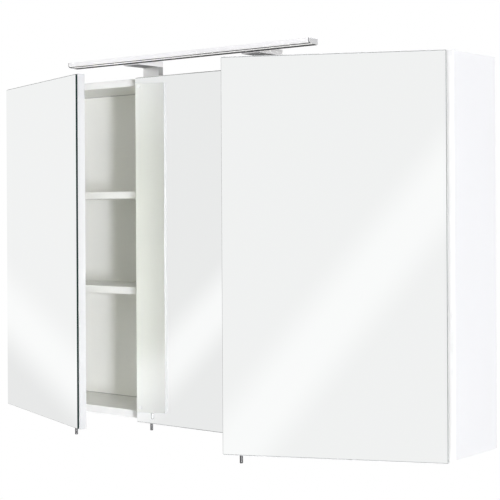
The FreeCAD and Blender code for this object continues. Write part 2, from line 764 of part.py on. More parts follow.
def led_driver():
    y1 = -DRIVER_BACK
    body = box(-DRIVER_L / 2, DRIVER_L / 2, y1 - DRIVER_D, y1, CARCASS_H, CARCASS_H + DRIVER_H)
    uprights = [e for e in body.Edges if abs(e.Vertexes[0].Z - e.Vertexes[-1].Z) > DRIVER_H / 2]
    return body.makeFillet(DRIVER_CORNER_R, uprights)


def driver_gland():
    y = -DRIVER_BACK - DRIVER_D / 2
    z = CARCASS_H + DRIVER_H / 2
    start = (DRIVER_L / 2, y, z)
    end = (DRIVER_L / 2 + GLAND_LEN, y, z)
    return rod(start, end, GLAND_R).cut(rod(start, end, GLAND_BORE_R))


# Write the pieces

os.makedirs("parts", exist_ok=True)

save("side_panel_left", side_panel(-1))
save("side_panel_right", side_panel(1))
save("top_panel", level_panel(TOP_UNDER))
save("bottom_panel", level_panel(0.0))
save("partition_left", partition(-1))
save("partition_right", partition(1))
save("back_panel", back_panel())
for place, (low, high) in shelf_places().items():
    for level, top in zip(("lower", "upper"), SHELF_TOPS):
        save("shelf_" + place + "_" + level, shelf(low, high, top))
save("shelf_pins", *[shelf_pin(*point) for point in pin_points()])
save("cam_locks", *CAMS)
save("cam_bolts", *CAM_BOLTS)
save("partition_screws", *JOIN_SCREWS)

save("hangers", hanger(-1), hanger(1))
save("hanger_hooks", hanger_hook(-1), hanger_hook(1))
save("hanger_adjusters", *(hanger_adjusters(-1) + hanger_adjusters(1)))
save("hanger_screws", *HANGER_FIXINGS)
save("wall_plates", wall_plate(-1), wall_plate(1))

every_hinge = [(side, z) for side in SIDES.values() for z in HINGE_ZS]
save("hinge_plates", *[hinge_plate(*place) for place in every_hinge])
save("hinge_plate_screws", *PLATE_SCREWS)
save("hinge_arms", *[hinge_arm(*place) for place in every_hinge])
save("hinge_arm_screws", *[s for side in SIDES.values() for s in arm_screws(side)])

for place, side in SIDES.items():
    save("door_board_" + place, side.swing_door(door_board(side)))
    save("mirror_" + place, side.swing_door(mirror_glass(side)))
    save("pull_" + place, side.swing_door(door_pull(side)))
    save("bumpers_" + place, *[side.swing_door(s) for s in bumpers(side)])
    save("hinge_cups_" + place, *[side.swing_door(hinge_cup(side, z)) for z in HINGE_ZS])
    save("cup_screws_" + place, *[side.swing_door(s) for s in cup_screws(side)])
    save("outer_links_" + place, *[side.swing_outer(outer_link(side, z)) for z in HINGE_ZS])
    inner_pairs = [link for z in HINGE_ZS for link in inner_link(side, z)]
    save("inner_links_" + place, *[side.swing_inner(link) for link in inner_pairs])

save("lamp_housing", lamp_housing())
save("lamp_diffuser", lamp_channel(BODY_HALF, LAMP_Z0 + DIFFUSER_T))
save("led_strip", led_strip())
save("lamp_caps", lamp_cap(-1), lamp_cap(1))
save("lamp_bracket_left", lamp_bracket(-BRACKET_DX))
save("lamp_bracket_right", lamp_bracket(BRACKET_DX))
save("lamp_bar_screws", *bar_screws())
save("lamp_base_screws", *BASE_SCREWS)
save("led_driver", led_driver())
save("driver_gland", driver_gland())
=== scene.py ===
"""Mirror cabinet with three doors and a lamp bar: glass, finishes, studio light and camera.

Lengths are in metres. A bearing is in degrees to the right of the front, a height in degrees above level.
"""
import math
from collections import namedtuple

import bpy
import numpy as np
from mathutils import Matrix, Vector


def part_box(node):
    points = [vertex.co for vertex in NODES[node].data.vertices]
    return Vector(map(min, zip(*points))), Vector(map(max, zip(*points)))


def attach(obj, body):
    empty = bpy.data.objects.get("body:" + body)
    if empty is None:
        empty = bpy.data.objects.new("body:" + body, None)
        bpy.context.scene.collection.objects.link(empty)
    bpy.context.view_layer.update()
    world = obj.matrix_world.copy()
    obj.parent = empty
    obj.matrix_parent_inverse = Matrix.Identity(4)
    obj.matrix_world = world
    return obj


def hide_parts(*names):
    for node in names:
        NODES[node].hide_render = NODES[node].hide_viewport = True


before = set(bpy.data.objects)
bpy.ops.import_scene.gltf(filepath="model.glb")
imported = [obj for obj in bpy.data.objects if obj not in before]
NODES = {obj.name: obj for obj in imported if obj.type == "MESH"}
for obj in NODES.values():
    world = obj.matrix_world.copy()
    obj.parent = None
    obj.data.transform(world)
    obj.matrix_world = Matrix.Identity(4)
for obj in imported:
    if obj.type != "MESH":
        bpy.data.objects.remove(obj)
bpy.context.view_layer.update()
MM = 0.001


# Mesh building

def grid_quads(rows, cols, close_cols=False):
    """Quads between neighbours in a grid of rows by cols; closed columns join the last to the first."""
    line = np.arange(rows - 1)
    spot = np.arange(cols if close_cols else cols - 1)
    i, j = np.meshgrid(line, spot, indexing="ij")
    k = (j + 1) % cols
    corners = [i * cols + j, i * cols + k, (i + 1) * cols + k, (i + 1) * cols + j]
    return np.stack(corners, axis=-1).reshape(-1, 4)


def rounded_outline(half_a, half_b, radius, steps):
    """Rectangle with round corners: corner centre plus radius times (cos t, sin t) over a quarter turn."""
    quarter = np.linspace(0.0, math.pi / 2, steps)
    turn = (np.arange(4)[:, None] * math.pi / 2 + quarter[None, :]).ravel()
    side_a = np.repeat([1.0, -1.0, -1.0, 1.0], steps)
    side_b = np.repeat([1.0, 1.0, -1.0, -1.0], steps)
    a = side_a * (half_a - radius) + radius * np.cos(turn)
    b = side_b * (half_b - radius) + radius * np.sin(turn)
    return np.stack([a, b], axis=-1)


def vertices_of(name):
    """All corner points of a frame node as one array."""
    mesh = NODES[name].data
    flat = np.zeros(len(mesh.vertices) * 3)
    mesh.vertices.foreach_get("co", flat)
    return flat.reshape(-1, 3)


def make_piece(name, points, faces, body, materials, slots=None):
    """Puts points and faces into a mesh object at the origin and lets it ride on a body."""
    mesh = bpy.data.meshes.new(name)
    mesh.from_pydata(np.asarray(points).tolist(), [], [list(map(int, face)) for face in faces])
    for material in materials:
        mesh.materials.append(material)
    if slots is not None:
        mesh.polygons.foreach_set("material_index", np.asarray(slots, dtype=np.int32))
    mesh.update()
    piece = bpy.data.objects.new(name, mesh)
    bpy.context.scene.collection.objects.link(piece)
    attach(piece, body)
    return piece


# Node building

# Places of the colour sockets on a mix node
MIX_FIRST = 6
MIX_SECOND = 7
MIX_RESULT = 2


class Wiring:
    """Adds nodes to one tree and joins them."""

    def __init__(self, tree):
        self.tree = tree

    def add(self, kind, **settings):
        node = self.tree.nodes.new(kind)
        for key, value in settings.items():
            setattr(node, key, value)
        return node

    def feed(self, socket, value):
        if isinstance(value, bpy.types.NodeSocket):
            self.tree.links.new(value, socket)
        else:
            socket.default_value = value

    def math(self, operation, first, second=0.0, third=0.0):
        node = self.add("ShaderNodeMath", operation=operation)
        for socket, value in zip(node.inputs, (first, second, third)):
            self.feed(socket, value)
        return node.outputs[0]

    def split(self, vector):
        """X, Y and Z of a vector."""
        node = self.add("ShaderNodeSeparateXYZ")
        self.feed(node.inputs[0], vector)
        return node.outputs

    def facing(self):
        """X, Y and Z of the direction that the surface looks in, on the piece's own axes."""
        return self.split(self.add("ShaderNodeTexCoord").outputs["Normal"])

    def stepped(self, value, low, high, to_low=0.0, to_high=1.0):
        """Smooth step of value from low to high, put out between to_low and to_high."""
        node = self.add("ShaderNodeMapRange", interpolation_type="SMOOTHSTEP")
        for label, given in (("Value", value), ("From Min", low), ("From Max", high),
                             ("To Min", to_low), ("To Max", to_high)):
            self.feed(node.inputs[label], given)
        return node.outputs["Result"]

    def scaled(self, value, to_low, to_high):
        """Straight map of a 0 to 1 value to the given ends."""
        node = self.add("ShaderNodeMapRange")
        self.feed(node.inputs["Value"], value)
        node.inputs["To Min"].default_value = to_low
        node.inputs["To Max"].default_value = to_high
        return node.outputs["Result"]

    def toward(self, share, value, goal):
        """Value moved towards the goal by a share: value + share * (goal - value)."""
        return self.math("MULTIPLY_ADD", share, self.math("SUBTRACT", goal, value), value)

    def blend(self, factor, first, second):
        """Colour mix of first and second by factor."""
        node = self.add("ShaderNodeMix", data_type="RGBA")
        self.feed(node.inputs["Factor"], factor)
        self.feed(node.inputs[MIX_FIRST], first)
        self.feed(node.inputs[MIX_SECOND], second)
        return node.outputs[MIX_RESULT]

    def mixed(self, share, first, second):
        """Shader mix of first and second by share."""
        node = self.add("ShaderNodeMixShader")
        for socket, value in zip(node.inputs, (share, first, second)):
            self.feed(socket, value)
        return node.outputs[0]

    def noise(self, vector, scale, detail=3.0, roughness=0.55):
        node = self.add("ShaderNodeTexNoise")
        self.feed(node.inputs["Vector"], vector)
        self.feed(node.inputs["Scale"], scale)
        node.inputs["Detail"].default_value = detail
        node.inputs["Roughness"].default_value = roughness
        return node.outputs["Fac"]

    def place(self, name, **values):
        """An effect group with its own values."""
        node = self.add("ShaderNodeGroup", node_tree=EFFECTS[name])
        for label, value in values.items():
            self.feed(node.inputs[label], value)
        return node.outputs

    def relief(self, height, strength, distance):
        node = self.add("ShaderNodeBump")
        node.inputs["Strength"].default_value = strength
        node.inputs["Distance"].default_value = distance
        self.feed(node.inputs["Height"], height)
        return node.outputs["Normal"]


def new_effect(name, takes, gives):
    """Empty shader group with inputs (label, kind, start value) and outputs (labels of plain values)."""
    tree = bpy.data.node_groups.new(name, "ShaderNodeTree")
    for label, kind, start in takes:
        socket = tree.interface.new_socket(name=label, in_out="INPUT", socket_type=kind)
        if start is not None:
            socket.default_value = start
    for label in gives:
        tree.interface.new_socket(name=label, in_out="OUTPUT", socket_type=FLOAT)
    wiring = Wiring(tree)
    return wiring, wiring.add("NodeGroupInput").outputs, wiring.add("NodeGroupOutput").inputs


# Effects that several finishes share

VECTOR = "NodeSocketVector"
FLOAT = "NodeSocketFloat"
EFFECTS = {}


def pressed_pearl():
    """Pearled skin of coated board: fine noise for relief, slow cloud for tone, both for gloss."""
    wiring, takes, gives = new_effect(
        "pressed_pearl",
        [("Vector", VECTOR, None), ("Fine", FLOAT, 900.0), ("Slow", FLOAT, 6.0)],
        ["Tone", "Gloss", "Height"])
    fine = wiring.noise(takes["Vector"], takes["Fine"], detail=2.0, roughness=0.6)
    slow = wiring.noise(takes["Vector"], takes["Slow"], detail=3.0, roughness=0.5)
    gloss = wiring.math("MULTIPLY_ADD", fine, 0.4, wiring.math("MULTIPLY", slow, 0.6))
    wiring.feed(gives["Tone"], slow)
    wiring.feed(gives["Gloss"], gloss)
    wiring.feed(gives["Height"], fine)
    return wiring.tree


def drawn_lines():
    """Fine lines of drawn or brushed metal: noise read on a vector squeezed across the lines."""
    wiring, takes, gives = new_effect(
        "drawn_lines",
        [("Vector", VECTOR, None), ("Squeeze", VECTOR, (1.0, 1.0, 1.0))],
        ["Tone", "Gloss", "Height"])
    squeezed = wiring.add("ShaderNodeVectorMath", operation="MULTIPLY")
    wiring.feed(squeezed.inputs[0], takes["Vector"])
    wiring.feed(squeezed.inputs[1], takes["Squeeze"])
    lines = wiring.noise(squeezed.outputs[0], 1.0, detail=4.0, roughness=0.65)
    slow = wiring.noise(takes["Vector"], 18.0, detail=2.0, roughness=0.5)
    gloss = wiring.math("MULTIPLY_ADD", lines, 0.7, wiring.math("MULTIPLY", slow, 0.3))
    wiring.feed(gives["Tone"], slow)
    wiring.feed(gives["Gloss"], gloss)
    wiring.feed(gives["Height"], lines)
    return wiring.tree


def moulded_skin():
    """Fine matt skin of moulded plastic: cell distances over noise."""
    wiring, takes, gives = new_effect(
        "moulded_skin",
        [("Vector", VECTOR, None), ("Fine", FLOAT, 1400.0)],
        ["Tone", "Gloss", "Height"])
    cells = wiring.add("ShaderNodeTexVoronoi")
    wiring.feed(cells.inputs["Vector"], takes["Vector"])
    wiring.feed(cells.inputs["Scale"], takes["Fine"])
    slow = wiring.noise(takes["Vector"], 25.0, detail=2.0, roughness=0.5)
    wiring.feed(gives["Tone"], slow)
    wiring.feed(gives["Gloss"], wiring.math("MULTIPLY_ADD", cells.outputs["Distance"], 0.4, slow))
    wiring.feed(gives["Height"], cells.outputs["Distance"])
    return wiring.tree


def wiped_film():
    """Faint wiped film on polished faces: slow clouds that only change the gloss."""
    wiring, takes, gives = new_effect(
        "wiped_film",
        [("Vector", VECTOR, None), ("Slow", FLOAT, 4.0)],
        ["Gloss"])
    cloud = wiring.noise(takes["Vector"], takes["Slow"], detail=4.0, roughness=0.6)
    wiring.feed(gives["Gloss"], wiring.stepped(cloud, 0.5, 0.8))
    return wiring.tree


def zinc_spangle():
    """Crystal pattern of galvanised sheet: one random tone in each cell."""
    wiring, takes, gives = new_effect(
        "zinc_spangle",
        [("Vector", VECTOR, None), ("Cells", FLOAT, 160.0)],
        ["Tone", "Gloss", "Height"])
    cells = wiring.add("ShaderNodeTexVoronoi")
    wiring.feed(cells.inputs["Vector"], takes["Vector"])
    wiring.feed(cells.inputs["Scale"], takes["Cells"])
    parts = wiring.add("ShaderNodeSeparateColor")
    wiring.feed(parts.inputs[0], cells.outputs["Color"])
    wiring.feed(gives["Tone"], parts.outputs[0])
    wiring.feed(gives["Gloss"], parts.outputs[1])
    wiring.feed(gives["Height"], cells.outputs["Distance"])
    return wiring.tree


for build in (pressed_pearl, drawn_lines, moulded_skin, wiped_film, zinc_spangle):
    EFFECTS[build.__name__] = build()


# Finishes

def rgb(red, green, blue):
    """Opaque colour."""
    return (red, green, blue, 1.0)


# Darker and lighter tone of each coated board and of its edge band; the edge bands are darker as painted
# shade
BOARD_WHITE = (rgb(0.858, 0.859, 0.798), rgb(0.872, 0.873, 0.812))
# Top and bottom panels: the board white made brighter, as painted light
LEVEL_WHITE_PAINTED_LIGHT = (rgb(0.880, 0.881, 0.824), rgb(0.892, 0.893, 0.836))
SHELF_WHITE = (rgb(0.864, 0.866, 0.802), rgb(0.878, 0.880, 0.816))
DOOR_WHITE = (rgb(0.862, 0.864, 0.800), rgb(0.876, 0.878, 0.814))
# White side of the back board: the board white made brighter, as painted light
BACK_WHITE_PAINTED_LIGHT = (rgb(0.906, 0.908, 0.844), rgb(0.920, 0.922, 0.858))
# Edge bands: darker than their boards, as painted shade on the edges
DOOR_BAND_PAINTED_SHADE = (rgb(0.642, 0.646, 0.604), rgb(0.657, 0.661, 0.619))
SIDE_BAND_PAINTED_SHADE = (rgb(0.822, 0.824, 0.770), rgb(0.836, 0.838, 0.784))

# Raw back of the hardboard, and the painted contact shade where its white side enters the grooves
BACK_BROWN = (rgb(0.20, 0.125, 0.07), rgb(0.36, 0.25, 0.155))
GROOVE_PAINTED_SHADE = rgb(0.48, 0.48, 0.44)
GROOVE_PAINTED_SHADE_FADE = (2.2 * MM, 1.2 * MM)

# Lamp bracket: tones of its post front, of its flanks with painted shade, of its arm painted paler as
# painted light and of its underside with painted shade, height of the arm and how metallic each face is
POST_FRONT = (rgb(0.77, 0.77, 0.76), rgb(0.81, 0.81, 0.80))
POST_FLANK_PAINTED_SHADE = (rgb(0.32, 0.32, 0.30), rgb(0.36, 0.36, 0.34))
ARM_PAINTED_LIGHT = (rgb(0.84, 0.83, 0.79), rgb(0.88, 0.87, 0.83))
ARM_UNDERSIDE_PAINTED_SHADE = rgb(0.15, 0.15, 0.15)
ARM_H = 11.9 * MM
ARM_FADE = 0.2 * MM
FRONT_METAL = 0.90
FLANK_METAL = 0.35
ARM_METAL = 0.15

# Door pull: painted shade on its front and painted light on the side towards the wall
PULL_FRONT_PAINTED_SHADE = (rgb(0.07, 0.07, 0.068), rgb(0.10, 0.10, 0.098))
PULL_REAR_PAINTED_LIGHT = (rgb(0.84, 0.84, 0.82), rgb(0.90, 0.90, 0.88))

# Lamp strip: half distance of the chips, half length of a chip, start of the pads and blur of the print
CHIP_HALF_PITCH = 8.0 * MM
CHIP_HALF = 1.3 * MM
PAD_START = 6.9 * MM
PRINT_BLUR = 0.1 * MM

# Where a tone fades in, as the part of the surface's direction along one axis; the band, flank, underside
# and pull turns place painted shade and painted light
PAINTED_BAND_SHADE_TURN = (0.55, 0.80)
PAINTED_FLANK_SHADE_TURN = (0.6, 0.9)
PAINTED_UNDERSIDE_SHADE_TURN = (-0.6, -0.9)
PAINTED_PULL_LIGHT_TURN = (-0.1, 0.5)
BACK_TURN = (0.3, 0.6)

# Grain of the pearled skin on the coated boards
PEARL_FINE = 900.0
PEARL_SLOW = 6.0

# Strength and depth of each relief
PEARL_RELIEF = (0.06, 0.15 * MM)
LINE_RELIEF = (0.04, 0.05 * MM)
SKIN_RELIEF = (0.08, 0.05 * MM)
GROUND_RELIEF = (0.05, 0.05 * MM)
SPANGLE_RELIEF = (0.05, 0.1 * MM)
FIBRE_RELIEF = (0.08, 0.1 * MM)


def new_finish(name):
    """Material with its wiring, Principled shader and Object coordinates."""
    material = bpy.data.materials.new(name)
    material.use_nodes = True
    wiring = Wiring(material.node_tree)
    shader = material.node_tree.nodes["Principled BSDF"]
    place = wiring.add("ShaderNodeTexCoord").outputs["Object"]
    return material, wiring, shader.inputs, place


def lay_skin(wiring, shader, effect, gloss, relief):
    """Roughness between two ends and relief of a given strength and depth, both from one effect."""
    wiring.feed(shader["Roughness"], wiring.scaled(effect["Gloss"], *gloss))
    wiring.feed(shader["Normal"], wiring.relief(effect["Height"], *relief))


def coated_finish(name, tones, gloss):
    """Coated board: two close whites by the slow cloud, pearled relief and gloss."""
    material, wiring, shader, place = new_finish(name)
    pearl = wiring.place("pressed_pearl", Vector=place, Fine=PEARL_FINE, Slow=PEARL_SLOW)
    wiring.feed(shader["Base Color"], wiring.blend(pearl["Tone"], *tones))
    lay_skin(wiring, shader, pearl, gloss, PEARL_RELIEF)
    return material


def banded_finish(name, sideward, frontward, gloss):
    """Coated board with an edge band: frontward tones where it looks to front or wall, else sideward; the
    band's darker tone is painted shade.
    """
    material, wiring, shader, place = new_finish(name)
    pearl = wiring.place("pressed_pearl", Vector=place, Fine=PEARL_FINE, Slow=PEARL_SLOW)
    turned = wiring.stepped(wiring.math("ABSOLUTE", wiring.facing()["Y"]), *PAINTED_BAND_SHADE_TURN)
    elsewhere = wiring.blend(pearl["Tone"], *sideward)
    shown = wiring.blend(turned, elsewhere, wiring.blend(pearl["Tone"], *frontward))
    wiring.feed(shader["Base Color"], shown)
    lay_skin(wiring, shader, pearl, gloss, PEARL_RELIEF)
    return material


def metal_finish(name, tones, gloss, squeeze, metallic=1.0, glow=0.0):
    """Metal with drawn lines in tone, gloss and relief; less metallic for lacquer, with an optional painted
    glow as painted light.
    """
    material, wiring, shader, place = new_finish(name)
    lines = wiring.place("drawn_lines", Vector=place, Squeeze=squeeze)
    shader["Metallic"].default_value = metallic
    shader["Emission Color"].default_value = rgb(1.0, 1.0, 1.0)
    shader["Emission Strength"].default_value = glow
    wiring.feed(shader["Base Color"], wiring.blend(lines["Tone"], *tones))
    lay_skin(wiring, shader, lines, gloss, LINE_RELIEF)
    return material


def bracket_finish(arm_z):
    """Lamp bracket: satin metal post with painted shade on its flanks, less metallic arm painted paler from
    arm_z up as painted light, painted shade where it looks down.
    """
    material, wiring, shader, place = new_finish("bracket_satin_metal_painted_light_and_shade")
    lines = wiring.place("drawn_lines", Vector=place, Squeeze=(2400.0, 12.0, 2400.0))
    facing = wiring.facing()
    sideways = wiring.stepped(wiring.math("ABSOLUTE", facing["X"]), *PAINTED_FLANK_SHADE_TURN)
    painted_underside_shade = wiring.stepped(facing["Z"], *PAINTED_UNDERSIDE_SHADE_TURN)
    raised = wiring.stepped(wiring.split(place)["Z"], arm_z - ARM_FADE, arm_z + ARM_FADE)
    front = wiring.blend(lines["Tone"], *POST_FRONT)
    painted_flank_shade = wiring.blend(lines["Tone"], *POST_FLANK_PAINTED_SHADE)
    arm = wiring.blend(lines["Tone"], *ARM_PAINTED_LIGHT)
    # The arm's paler tone is painted light; the flanks and the underside carry painted shade
    shown = wiring.blend(raised, wiring.blend(sideways, front, painted_flank_shade), arm)
    wiring.feed(shader["Base Color"], wiring.blend(painted_underside_shade, shown, ARM_UNDERSIDE_PAINTED_SHADE))
    post_metal = wiring.scaled(sideways, FRONT_METAL, FLANK_METAL)
    wiring.feed(shader["Metallic"], wiring.toward(raised, post_metal, ARM_METAL))
    lay_skin(wiring, shader, lines, (0.34, 0.46), LINE_RELIEF)
    return material


def pull_finish():
    """Door pull: satin metal with painted shade where it looks to the front and painted light where it
    looks to the wall.
    """
    material, wiring, shader, place = new_finish("pull_satin_metal")
    lines = wiring.place("drawn_lines", Vector=place, Squeeze=(2500.0, 2500.0, 60.0))
    # Painted light on the side towards the wall, painted shade on the front
    wallward = wiring.stepped(wiring.facing()["Y"], *PAINTED_PULL_LIGHT_TURN)
    front = wiring.blend(lines["Tone"], *PULL_FRONT_PAINTED_SHADE)
    rear = wiring.blend(lines["Tone"], *PULL_REAR_PAINTED_LIGHT)
    wiring.feed(shader["Base Color"], wiring.blend(wallward, front, rear))
    shader["Metallic"].default_value = 0.5
    lay_skin(wiring, shader, lines, (0.20, 0.30), LINE_RELIEF)
    return material


def plastic_finish(name, tones, gloss):
    """Moulded plastic with a fine matt skin."""
    material, wiring, shader, place = new_finish(name)
    skin = wiring.place("moulded_skin", Vector=place, Fine=1400.0)
    wiring.feed(shader["Base Color"], wiring.blend(skin["Tone"], *tones))
    lay_skin(wiring, shader, skin, gloss, SKIN_RELIEF)
    return material


def silver_finish():
    """Silvered face of the mirror: a clean metal with a faint wiped film in its gloss."""
    material, wiring, shader, place = new_finish("mirror_silver")
    shader["Metallic"].default_value = 1.0
    shader["Base Color"].default_value = rgb(0.955, 0.965, 0.962)
    film = wiring.place("wiped_film", Vector=place, Slow=5.0)
    wiring.feed(shader["Roughness"], wiring.scaled(film["Gloss"], 0.005, 0.03))
    return material


def glass_edge_finish():
    """Ground edge of the glass: deep green, darker and lighter in slow streaks along the edge."""
    material, wiring, shader, place = new_finish("ground_glass_edge")
    lines = wiring.place("drawn_lines", Vector=place, Squeeze=(40.0, 40.0, 900.0))
    green = wiring.blend(lines["Tone"], rgb(0.006, 0.016, 0.014), rgb(0.012, 0.030, 0.026))
    wiring.feed(shader["Base Color"], green)
    shader["Specular IOR Level"].default_value = 0.12
    lay_skin(wiring, shader, lines, (0.40, 0.55), GROUND_RELIEF)
    return material


def back_board_finish(low_z, high_z):
    """Hardboard: coated white inside with painted contact shade at its grooves, raw brown towards the wall.
    """
    material, wiring, shader, place = new_finish("back_hardboard")
    pearl = wiring.place("pressed_pearl", Vector=place, Fine=700.0, Slow=5.0)
    wallward = wiring.stepped(wiring.facing()["Y"], *BACK_TURN)
    from_middle = wiring.math("SUBTRACT", wiring.split(place)["Z"], (low_z + high_z) / 2)
    inner_half = (high_z - low_z) / 2
    groove = [inner_half - short for short in GROOVE_PAINTED_SHADE_FADE]
    # Painted contact shade along the top and bottom grooves
    groove_painted_shade = wiring.stepped(wiring.math("ABSOLUTE", from_middle), *groove)
    white = wiring.blend(groove_painted_shade, wiring.blend(pearl["Tone"], *BACK_WHITE_PAINTED_LIGHT), GROOVE_PAINTED_SHADE)
    fibre = wiring.noise(place, 380.0, detail=5.0, roughness=0.7)
    wiring.feed(shader["Base Color"], wiring.blend(wallward, white, wiring.blend(fibre, *BACK_BROWN)))
    gloss = wiring.math("MULTIPLY_ADD", wallward, 0.3, wiring.scaled(pearl["Gloss"], 0.42, 0.52))
    wiring.feed(shader["Roughness"], gloss)
    wiring.feed(shader["Normal"], wiring.relief(fibre, *FIBRE_RELIEF))
    return material


def opal_finish():
    """Opal lamp cover: pale glowing plastic with a soft skin."""
    material, wiring, shader, place = new_finish("opal_cover")
    skin = wiring.place("moulded_skin", Vector=place, Fine=1800.0)
    pale = wiring.blend(skin["Tone"], rgb(0.86, 0.87, 0.86), rgb(0.93, 0.93, 0.92))
    wiring.feed(shader["Base Color"], pale)
    wiring.feed(shader["Roughness"], wiring.scaled(skin["Gloss"], 0.30, 0.42))
    shader["Emission Color"].default_value = rgb(1.0, 0.98, 0.95)
    shader["Emission Strength"].default_value = 0.45
    return material


def strip_finish():
    """Lamp strip: white board with a yellow chip every 16 mm along X and copper pads between them."""
    material, wiring, shader, place = new_finish("lamp_strip")
    wave = wiring.math("PINGPONG", wiring.split(place)["X"], CHIP_HALF_PITCH)
    chip = wiring.stepped(wave, CHIP_HALF + PRINT_BLUR, CHIP_HALF - PRINT_BLUR)
    pad = wiring.stepped(wave, PAD_START - PRINT_BLUR, PAD_START + PRINT_BLUR)
    board = wiring.blend(pad, rgb(0.86, 0.86, 0.83), rgb(0.62, 0.36, 0.18))
    wiring.feed(shader["Base Color"], wiring.blend(chip, board, rgb(0.88, 0.72, 0.22)))
    wiring.feed(shader["Roughness"], wiring.scaled(wiring.noise(place, 900.0), 0.35, 0.6))
    return material


def soft_clear_finish():
    """Soft bumper: smooth, milky, nearly as pale as the board under it."""
    material, wiring, shader, place = new_finish("soft_bumper")
    cloud = wiring.noise(place, 300.0, detail=2.0, roughness=0.5)
    milk = wiring.blend(cloud, rgb(0.90, 0.90, 0.86), rgb(0.93, 0.93, 0.89))
    wiring.feed(shader["Base Color"], milk)
    wiring.feed(shader["Roughness"], wiring.scaled(cloud, 0.30, 0.42))
    return material


def sheet_zinc_finish():
    """Galvanised sheet with its crystal spangle."""
    material, wiring, shader, place = new_finish("galvanised_sheet")
    spangle = wiring.place("zinc_spangle", Vector=place, Cells=150.0)
    shader["Metallic"].default_value = 1.0
    grey = wiring.blend(spangle["Tone"], rgb(0.52, 0.54, 0.56), rgb(0.66, 0.67, 0.68))
    wiring.feed(shader["Base Color"], grey)
    lay_skin(wiring, shader, spangle, (0.28, 0.46), SPANGLE_RELIEF)
    return material


BOARD = coated_finish("white_coated_board", BOARD_WHITE, (0.24, 0.36))
LEVEL_BOARD = coated_finish("white_level_board", LEVEL_WHITE_PAINTED_LIGHT, (0.24, 0.36))
SHELF_BOARD = coated_finish("white_shelf_board", SHELF_WHITE, (0.26, 0.38))
DOOR_BOARD = banded_finish("white_door_board", DOOR_BAND_PAINTED_SHADE, DOOR_WHITE, (0.26, 0.38))
SIDE_BOARD = banded_finish("white_side_board", BOARD_WHITE, SIDE_BAND_PAINTED_SHADE, (0.24, 0.36))
BACK = back_board_finish(float(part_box("bottom_panel")[1][2]), float(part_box("top_panel")[0][2]))
SILVER = silver_finish()
GLASS_EDGE = glass_edge_finish()
GLASS_BACK = plastic_finish(
    "mirror_back_paint", (rgb(0.24, 0.27, 0.28), rgb(0.30, 0.33, 0.34)), (0.5, 0.7))
# Lamp housing: pale lacquer with a painted glow, though the housing is no lamp
LAMP_METAL_PAINTED_GLOW = metal_finish(
    "lamp_pearl_lacquer_painted_glow", (rgb(0.93, 0.92, 0.87), rgb(0.96, 0.95, 0.90)), (0.24, 0.34),
    (12.0, 2600.0, 2600.0), metallic=0.1, glow=0.10)
BRACKET_METAL = bracket_finish(float(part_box("lamp_bracket_left")[1][2]) - ARM_H)
# Lamp end caps: metal with a faint painted glow
CAP_METAL_PAINTED_GLOW = metal_finish(
    "lamp_cap_metal_painted_glow", (rgb(0.92, 0.92, 0.93), rgb(0.96, 0.96, 0.97)), (0.22, 0.34),
    (1500.0, 1500.0, 1500.0), glow=0.04)
PULL_METAL = pull_finish()
HINGE_NICKEL = metal_finish(
    "hinge_nickel", (rgb(0.66, 0.64, 0.61), rgb(0.74, 0.72, 0.69)), (0.18, 0.32), (900.0, 900.0, 60.0))
CUP_NICKEL = metal_finish(
    "hinge_cup_nickel", (rgb(0.70, 0.69, 0.66), rgb(0.76, 0.75, 0.72)), (0.16, 0.28), (700.0, 700.0, 700.0))
SCREW_ZINC = metal_finish(
    "screw_zinc", (rgb(0.62, 0.62, 0.61), rgb(0.72, 0.72, 0.70)), (0.26, 0.42), (1200.0, 1200.0, 1200.0))
CAM_ZINC = metal_finish(
    "cam_die_cast_zinc", (rgb(0.54, 0.54, 0.55), rgb(0.62, 0.62, 0.63)), (0.36, 0.52),
    (800.0, 800.0, 800.0))
SHEET_ZINC = sheet_zinc_finish()
OPAL = opal_finish()
STRIP = strip_finish()
BUMPER = soft_clear_finish()
WHITE_PLASTIC = plastic_finish(
    "white_moulded_plastic", (rgb(0.80, 0.80, 0.79), rgb(0.84, 0.84, 0.83)), (0.42, 0.56))
# Black plastic: the gland's own colour, also used as painted shade on the lamp's trim line, rear lip, end
# walls and cap necks
BLACK_PLASTIC_AND_PAINTED_SHADE = plastic_finish(
    "black_plastic_and_painted_shade", (rgb(0.022, 0.022, 0.023), rgb(0.035, 0.035, 0.036)), (0.40, 0.58))

# Starts of the names of the nodes that each finish goes on
DRESSED = (
    (BOARD, ("partition_left", "partition_right")),
    (LEVEL_BOARD, ("top_panel", "bottom_panel")),
    (SHELF_BOARD, ("shelf_left", "shelf_middle", "shelf_right")),
    (DOOR_BOARD, ("door_board",)),
    (SIDE_BOARD, ("side_panel",)),
    (BACK, ("back_panel",)),
    (SILVER, ("mirror",)),
    (LAMP_METAL_PAINTED_GLOW, ("lamp_housing",)),
    (BRACKET_METAL, ("lamp_bracket",)),
    (CAP_METAL_PAINTED_GLOW, ("lamp_caps",)),
    (PULL_METAL, ("pull",)),
    (HINGE_NICKEL, ("hinge_plates", "hinge_arms", "outer_links", "inner_links")),
    (CUP_NICKEL, ("hinge_cups",)),
    (SCREW_ZINC, ("shelf_pins", "cam_bolts", "partition_screws", "hanger_adjusters", "hanger_screws")),
    (SCREW_ZINC, ("hinge_plate_screws", "hinge_arm_screws", "cup_screws")),
    (SCREW_ZINC, ("lamp_bar_screws", "lamp_base_screws")),
    (CAM_ZINC, ("cam_locks",)),
    (SHEET_ZINC, ("hanger_hooks", "wall_plates")),
    (OPAL, ("lamp_diffuser",)),
    (STRIP, ("led_strip",)),
    (BUMPER, ("bumpers",)),
    (WHITE_PLASTIC, ("hangers", "led_driver")),
    (BLACK_PLASTIC_AND_PAINTED_SHADE, ("driver_gland",)),
)
FINISHES = {start: finish for finish, starts in DRESSED for start in starts}


